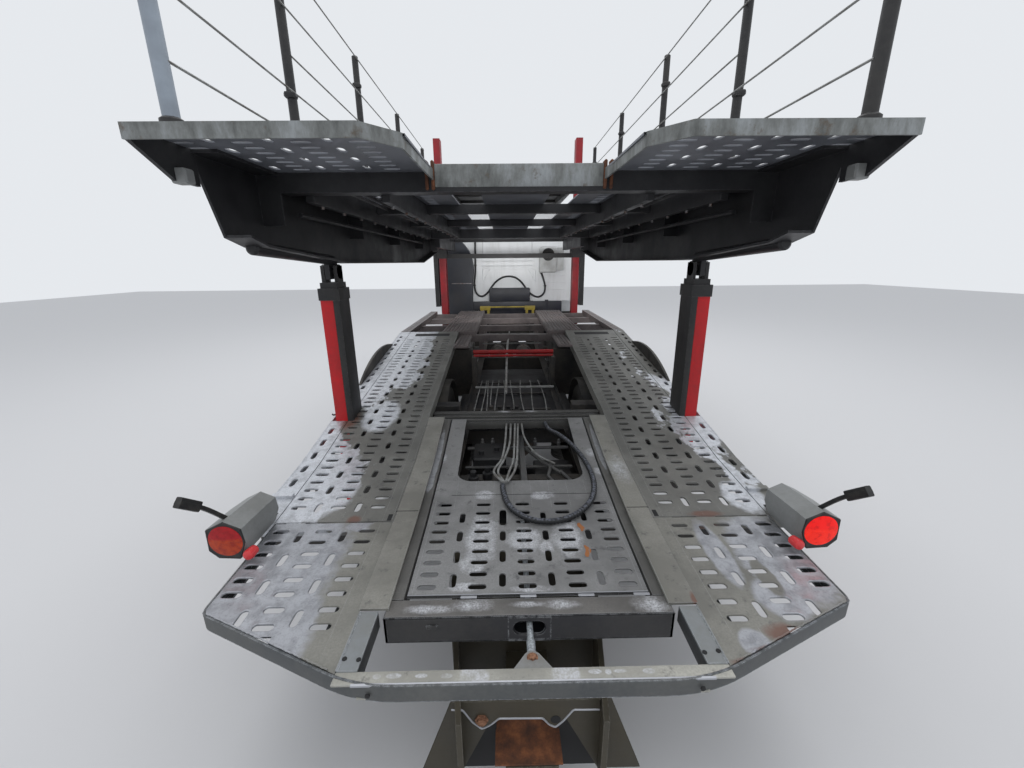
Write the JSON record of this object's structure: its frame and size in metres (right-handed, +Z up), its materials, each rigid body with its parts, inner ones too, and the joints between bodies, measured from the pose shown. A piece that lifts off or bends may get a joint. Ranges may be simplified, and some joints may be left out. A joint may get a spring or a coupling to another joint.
{
  "type": "car transporter truck",
  "caption": "Rigid car transporter truck with a sleeper cab, slotted lower deck with a sliding tail, lifting and tilting upper deck on masts and telescopes, and over-cab rack.",
  "frame": {"origin": "on the ground under the middle of the truck's bounding box", "axes": "+Z up, +Y towards the cab, +X to the right as seen from behind"},
  "size_m": [2.8, 9.4, 3.82],
  "materials": {
    "black_steel": "satin",
    "galvanised": "worn",
    "red_paint": "gloss",
    "white_paint": "gloss",
    "glass": "gloss",
    "black_plastic": "matte",
    "grey_trim": "matte",
    "tyre": "matte",
    "rim_steel": "satin",
    "cast": "rough",
    "tank_alloy": "brushed",
    "lamp_lens": "gloss",
    "headlamp_lens": "gloss",
    "hose_rubber": "matte",
    "post_grey": "satin"
  },
  "bodies": {
    "root": {"chassis_frame": "black_steel", "engine_block": "cast", "front_axle": "black_steel", "rear_axle": "black_steel", "fuel_tank": "tank_alloy", "tool_box": "grey_trim", "cab_shell": "white_paint", "windscreen": "glass", "cab_interior": "grey_trim", "front_bumper": "white_paint", "grille": "black_plastic", "headlamps": "headlamp_lens", "mirrors": "black_plastic", "air_intake": "black_plastic", "cooler_box": "white_paint", "front_wings": "black_plastic", "rear_mudguards": "black_plastic", "side_guards": "tank_alloy", "deck_tracks_left": "galvanised", "deck_tracks_right": "galvanised", "deck_planks": "black_steel", "deck_centre": "black_steel", "centre_plate": "galvanised", "lift_columns": "red_paint", "coupling_carrier": "galvanised", "tail_lamps": "lamp_lens", "tail_hose": "hose_rubber"},
    "knuckle_left": {"knuckle_left": "cast"},
    "knuckle_right": {"knuckle_right": "cast"},
    "wheel_front_left": {"front_tyre_left": "tyre", "front_rim_left": "rim_steel"},
    "wheel_front_right": {"front_tyre_right": "tyre", "front_rim_right": "rim_steel"},
    "wheel_rear_left": {"rear_tyres_left": "tyre", "rear_rims_left": "rim_steel"},
    "wheel_rear_right": {"rear_tyres_right": "tyre", "rear_rims_right": "rim_steel"},
    "door_left": {"door_left": "white_paint", "door_glass_left": "glass"},
    "door_right": {"door_right": "white_paint", "door_glass_right": "glass"},
    "lift_carriage": {"lift_carriage": "black_steel"},
    "upper_deck": {"upper_deck_frame": "black_steel", "upper_deck_plates": "galvanised", "stanchions": "post_grey"},
    "rear_telescopes": {"rear_telescopes": "black_steel"},
    "head_rack": {"head_rack": "galvanised"},
    "tail_platform": {"tail_platform": "galvanised"}
  },
  "joints": [
    {"name": "steer_right", "type": "hinge", "parent": "root", "child": "knuckle_right", "pos_m": [0.86, 2.86, 0.475], "axis": [0, 0, 1], "range_deg": [-35, 35]},
    {"name": "steer_left", "type": "hinge", "parent": "root", "child": "knuckle_left", "pos_m": [-0.86, 2.86, 0.475], "axis": [0, 0, 1], "range_deg": [-35, 35]},
    {"name": "spin_front_right", "type": "hinge", "parent": "knuckle_right", "child": "wheel_front_right", "pos_m": [1.04, 2.86, 0.475], "axis": [1, 0, 0], "continuous": true},
    {"name": "spin_front_left", "type": "hinge", "parent": "knuckle_left", "child": "wheel_front_left", "pos_m": [-1.04, 2.86, 0.475], "axis": [1, 0, 0], "continuous": true},
    {"name": "spin_rear_right", "type": "hinge", "parent": "root", "child": "wheel_rear_right", "pos_m": [0.9125, -1.93, 0.475], "axis": [1, 0, 0], "continuous": true},
    {"name": "spin_rear_left", "type": "hinge", "parent": "root", "child": "wheel_rear_left", "pos_m": [-0.9125, -1.93, 0.475], "axis": [1, 0, 0], "continuous": true},
    {"name": "door_right_swing", "type": "hinge", "parent": "root", "child": "door_right", "pos_m": [1.245, 4.076, 1.9], "axis": [0, 0, 1], "range_deg": [0, 70]},
    {"name": "door_left_swing", "type": "hinge", "parent": "root", "child": "door_left", "pos_m": [-1.245, 4.076, 1.9], "axis": [0, 0, -1], "range_deg": [0, 70]},
    {"name": "deck_lift", "type": "slide", "parent": "root", "child": "lift_carriage", "axis": [0, 0, 1], "range_m": [0, 0.65]},
    {"name": "deck_tilt", "type": "hinge", "parent": "lift_carriage", "child": "upper_deck", "pos_m": [0, 1.466, 2.3], "axis": [-1, 0, 0], "range_deg": [-1.5, 9]},
    {"name": "telescope_slide", "type": "slide", "parent": "lift_carriage", "child": "rear_telescopes", "axis": [0, 0, 1], "range_m": [-0.125, 0.7]},
    {"name": "head_rack_tilt", "type": "hinge", "parent": "root", "child": "head_rack", "pos_m": [0, 1.73, 3.16], "axis": [1, 0, 0], "range_deg": [0, 10]},
    {"name": "tail_slide", "type": "slide", "parent": "root", "child": "tail_platform", "axis": [0, -1, 0], "range_m": [0, 0.5]}
  ],
  "couplings": [
    {"joint": "steer_left", "follows": "steer_right", "ratio": 1},
    {"joint": "telescope_slide", "follows": "deck_tilt", "m_per_rad": 4.3}
  ]
}
